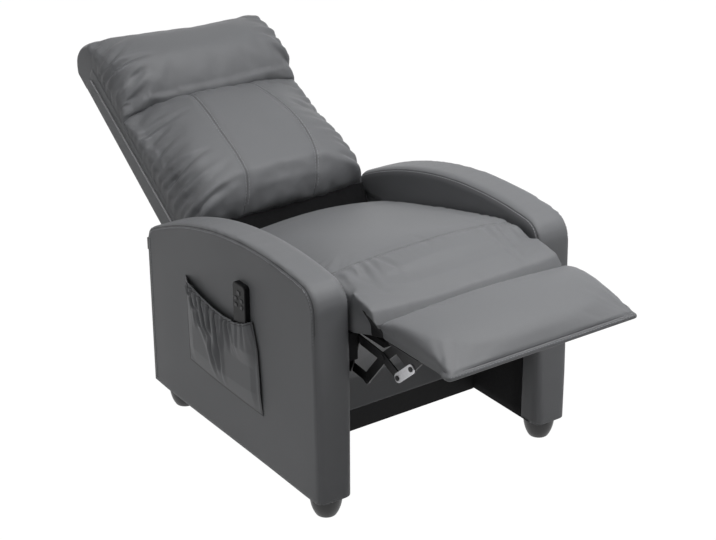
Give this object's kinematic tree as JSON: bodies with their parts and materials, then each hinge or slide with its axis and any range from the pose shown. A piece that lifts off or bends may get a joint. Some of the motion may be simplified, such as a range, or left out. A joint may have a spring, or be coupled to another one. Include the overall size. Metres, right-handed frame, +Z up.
{
  "type": "massage recliner",
  "caption": "Reclining massage chair with a folding padded footrest, padded arms, head and back cushions, and a side pocket that holds a wired-type remote.",
  "frame": {"origin": "on the floor, under the middle of the reclined chair's length and width", "axes": "+X towards the sitter's left, the chair faces -Y, +Z up"},
  "size_m": [0.6771, 1.4567, 0.7326],
  "materials": {
    "grey_vinyl": "satin",
    "padded_vinyl": "satin",
    "black_cloth": "matte",
    "black_board": "matte",
    "frame_wood": "matte",
    "webbing": "matte",
    "black_plastic": "matte",
    "black_steel": "satin",
    "zinc_steel": "satin",
    "remote_plastic": "gloss",
    "button_rubber": "matte",
    "circuit_green": "satin"
  },
  "bodies": {
    "base": {"left_arm_cover": "grey_vinyl", "right_arm_cover": "grey_vinyl", "left_arm_frame": "frame_wood", "right_arm_frame": "frame_wood", "left_arm_lining": "black_cloth", "right_arm_lining": "black_cloth", "front_feet": "black_plastic", "rear_feet": "black_plastic", "foot_studs": "zinc_steel", "front_rail": "black_board", "rear_rail": "black_board", "underside_cloth": "black_cloth", "front_apron": "grey_vinyl", "seat_side_rails": "frame_wood", "seat_cross_rails": "frame_wood", "seat_front_board": "frame_wood", "seat_webbing": "webbing", "seat_cushion": "padded_vinyl", "left_mechanism_plate": "black_steel", "right_mechanism_plate": "black_steel", "plate_screws": "zinc_steel", "base_rivets": "zinc_steel", "cross_tube": "black_steel", "recline_plates": "black_steel", "recline_pins": "zinc_steel", "seat_massage_units": "black_plastic", "control_box": "black_plastic", "circuit_board": "circuit_green", "power_inlet": "black_plastic", "side_pocket": "grey_vinyl", "pocket_hem": "grey_vinyl"},
    "backrest": {"back_cover": "grey_vinyl", "back_stiles": "frame_wood", "back_rails": "frame_wood", "back_webbing": "webbing", "back_lower_cloth": "black_cloth", "back_brackets": "black_steel", "bracket_screws": "zinc_steel", "back_cushion": "padded_vinyl", "head_cushion": "padded_vinyl", "back_massage_units": "black_plastic"},
    "footrest": {"chaise_flap": "padded_vinyl", "footrest_board": "frame_wood", "footrest_pad": "padded_vinyl", "footrest_brackets": "black_steel"},
    "long_links": {"long_links": "black_steel"},
    "cross_links": {"cross_links": "black_steel"},
    "front_links": {"front_links": "zinc_steel"},
    "cranks": {"cranks": "black_steel"},
    "remote": {"remote_back_shell": "remote_plastic", "remote_front_shell": "remote_plastic"},
    "power_button": {"power_button": "button_rubber"},
    "mode_button": {"mode_button": "button_rubber"},
    "level_button": {"level_button": "button_rubber"},
    "timer_button": {"timer_button": "button_rubber"},
    "heat_button": {"heat_button": "button_rubber"},
    "right_seat_weight": {"right_seat_weight": "zinc_steel"},
    "left_seat_weight": {"left_seat_weight": "zinc_steel"},
    "right_back_weight": {"right_back_weight": "zinc_steel"},
    "left_back_weight": {"left_back_weight": "zinc_steel"}
  },
  "joints": [
    {"name": "back_recline", "type": "hinge", "parent": "base", "child": "backrest", "pos_m": [0, 0.172, 0.34], "axis": [1, 0, 0], "range_deg": [0, 38]},
    {"name": "footrest_fold", "type": "hinge", "parent": "base", "child": "footrest", "pos_m": [0, -0.445, 0.434], "axis": [1, 0, 0], "range_deg": [0, 90]},
    {"name": "long_link_swing", "type": "hinge", "parent": "base", "child": "long_links", "pos_m": [0, -0.402, 0.396], "axis": [1, 0, 0], "range_deg": [0, 90]},
    {"name": "crank_swing", "type": "hinge", "parent": "base", "child": "cranks", "pos_m": [0, -0.34, 0.32], "axis": [1, 0, 0], "range_deg": [0, 90]},
    {"name": "cross_link_swing", "type": "hinge", "parent": "long_links", "child": "cross_links", "pos_m": [0, -0.49, 0.388], "axis": [1, 0, 0], "range_deg": [-90, 0]},
    {"name": "front_link_swing", "type": "hinge", "parent": "long_links", "child": "front_links", "pos_m": [0, -0.544, 0.366], "axis": [1, 0, 0], "range_deg": [-90, 0]},
    {"name": "remote_lift", "type": "slide", "parent": "base", "child": "remote", "axis": [0, 0, 1], "range_m": [0, 0.07]},
    {"name": "power_press", "type": "slide", "parent": "remote", "child": "power_button", "axis": [1, 0, 0], "range_m": [0, 0.0006], "stiffness_N_per_m": 400, "springref_m": -0.0012},
    {"name": "mode_press", "type": "slide", "parent": "remote", "child": "mode_button", "axis": [1, 0, 0], "range_m": [0, 0.0006], "stiffness_N_per_m": 400, "springref_m": -0.0012},
    {"name": "level_press", "type": "slide", "parent": "remote", "child": "level_button", "axis": [1, 0, 0], "range_m": [0, 0.0006], "stiffness_N_per_m": 400, "springref_m": -0.0012},
    {"name": "timer_press", "type": "slide", "parent": "remote", "child": "timer_button", "axis": [1, 0, 0], "range_m": [0, 0.0006], "stiffness_N_per_m": 400, "springref_m": -0.0012},
    {"name": "heat_press", "type": "slide", "parent": "remote", "child": "heat_button", "axis": [1, 0, 0], "range_m": [0, 0.0006], "stiffness_N_per_m": 400, "springref_m": -0.0012},
    {"name": "right_seat_motor_spin", "type": "hinge", "parent": "base", "child": "right_seat_weight", "pos_m": [-0.088, -0.08483, 0.35637], "axis": [1, 0, 0], "continuous": true},
    {"name": "left_seat_motor_spin", "type": "hinge", "parent": "base", "child": "left_seat_weight", "pos_m": [0.088, -0.08483, 0.35637], "axis": [1, 0, 0], "continuous": true},
    {"name": "right_back_motor_spin", "type": "hinge", "parent": "backrest", "child": "right_back_weight", "pos_m": [-0.088, 0.33108, 0.42965], "axis": [1, 0, 0], "continuous": true},
    {"name": "left_back_motor_spin", "type": "hinge", "parent": "backrest", "child": "left_back_weight", "pos_m": [0.088, 0.33108, 0.42965], "axis": [1, 0, 0], "continuous": true}
  ],
  "couplings": [
    {"joint": "long_link_swing", "follows": "footrest_fold", "ratio": 1},
    {"joint": "crank_swing", "follows": "footrest_fold", "ratio": 1},
    {"joint": "cross_link_swing", "follows": "footrest_fold", "ratio": -1},
    {"joint": "front_link_swing", "follows": "footrest_fold", "ratio": -1}
  ]
}
